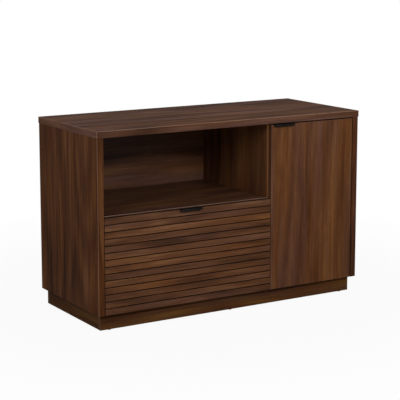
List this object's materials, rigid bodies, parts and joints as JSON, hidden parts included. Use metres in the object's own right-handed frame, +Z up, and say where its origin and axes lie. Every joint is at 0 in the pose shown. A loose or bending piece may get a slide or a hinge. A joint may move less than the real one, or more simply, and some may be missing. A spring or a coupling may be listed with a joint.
{
  "type": "credenza with file drawer",
  "caption": "Low office credenza on a recessed plinth: a slatted hanging-file drawer on ball slides below an open cubby, and a hinged door cupboard beside them.",
  "frame": {"origin": "on the floor, under the middle of the bounding box, which the pulls at the front belong to", "axes": "+X to the right as seen from the front, +Y to the back, +Z up; the front faces -Y"},
  "size_m": [1.182, 0.509, 0.749],
  "materials": {
    "top_board": "dark brown wood-grain laminate, satin, grain along the length",
    "end_board": "dark brown wood-grain laminate, satin, upright grain",
    "inner_board": "dark brown wood-grain laminate, satin",
    "plinth_board": "dark brown wood-grain laminate, satin, grain along the length",
    "raw_wood": "bare softwood",
    "back_board": "printed hardboard, brown wood grain inside",
    "front_board": "dark brown wood-grain laminate, satin, slats of mixed tone",
    "drawer_board": "dark brown laminate",
    "hardboard": "printed hardboard",
    "black_metal": "satin black powder coat",
    "zinc_steel": "bright zinc plating",
    "nickel_steel": "nickel plating",
    "black_plastic": "matt moulded plastic",
    "soft_bumper": "clear soft plastic"
  },
  "bodies": {
    "cabinet": {"top_panel": "top_board", "left_end": "end_board", "right_end": "end_board", "upright": "inner_board", "bottom_panel": "inner_board", "cubby_shelf": "inner_board", "back_panel": "back_board", "back_nails": "zinc_steel", "plinth_front": "plinth_board", "plinth_back": "plinth_board", "plinth_left": "plinth_board", "plinth_right": "plinth_board", "plinth_middle": "plinth_board", "plinth_corner_blocks": "raw_wood", "base_glides": "black_plastic", "cam_locks": "zinc_steel", "cam_bolts": "zinc_steel", "wood_dowels": "raw_wood", "adjustable_shelf": "inner_board", "shelf_pins": "nickel_steel", "slide_outer_left": "zinc_steel", "slide_outer_right": "zinc_steel", "slide_outer_screws": "zinc_steel", "hinge_plate_upper": "nickel_steel", "hinge_plate_lower": "nickel_steel", "hinge_arm_upper": "nickel_steel", "hinge_arm_lower": "nickel_steel", "hinge_plate_screws": "nickel_steel"},
    "drawer": {"drawer_front": "front_board", "drawer_side_left": "drawer_board", "drawer_side_right": "drawer_board", "drawer_back": "drawer_board", "drawer_bottom": "hardboard", "drawer_cam_locks": "zinc_steel", "drawer_cam_bolts": "zinc_steel", "drawer_screws": "zinc_steel", "drawer_pull": "black_metal", "drawer_pull_screws": "black_metal", "hanging_rail_front": "zinc_steel", "hanging_rail_rear": "zinc_steel", "rail_clips": "black_plastic", "slide_inner_left": "zinc_steel", "slide_inner_right": "zinc_steel", "slide_inner_screws": "zinc_steel"},
    "slide_middles": {"slide_middle_left": "zinc_steel", "slide_middle_right": "zinc_steel"},
    "outer_cages": {"outer_ball_cages": "zinc_steel", "outer_balls": "nickel_steel"},
    "inner_cages": {"inner_ball_cages": "zinc_steel", "inner_balls": "nickel_steel"},
    "door": {"door_panel": "front_board", "door_pull": "black_metal", "door_pull_screws": "black_metal", "hinge_cup_upper": "nickel_steel", "hinge_cup_lower": "nickel_steel", "hinge_cup_screws": "nickel_steel", "hinge_pins": "nickel_steel", "door_bumpers": "soft_bumper"}
  },
  "joints": [
    {"name": "drawer_slide", "type": "slide", "parent": "cabinet", "child": "drawer", "axis": [0, -1, 0], "range_m": [0, 0.42]},
    {"name": "middle_slide", "type": "slide", "parent": "cabinet", "child": "slide_middles", "axis": [0, -1, 0], "range_m": [0, 0.21]},
    {"name": "outer_cage_slide", "type": "slide", "parent": "cabinet", "child": "outer_cages", "axis": [0, -1, 0], "range_m": [0, 0.105]},
    {"name": "inner_cage_slide", "type": "slide", "parent": "cabinet", "child": "inner_cages", "axis": [0, -1, 0], "range_m": [0, 0.315]},
    {"name": "door_hinge", "type": "hinge", "parent": "cabinet", "child": "door", "pos_m": [0.549, -0.233, 0.3915], "axis": [0, 0, 1], "range_deg": [0, 95]}
  ],
  "couplings": [
    {"joint": "middle_slide", "follows": "drawer_slide", "ratio": 0.5},
    {"joint": "outer_cage_slide", "follows": "drawer_slide", "ratio": 0.25},
    {"joint": "inner_cage_slide", "follows": "drawer_slide", "ratio": 0.75}
  ]
}
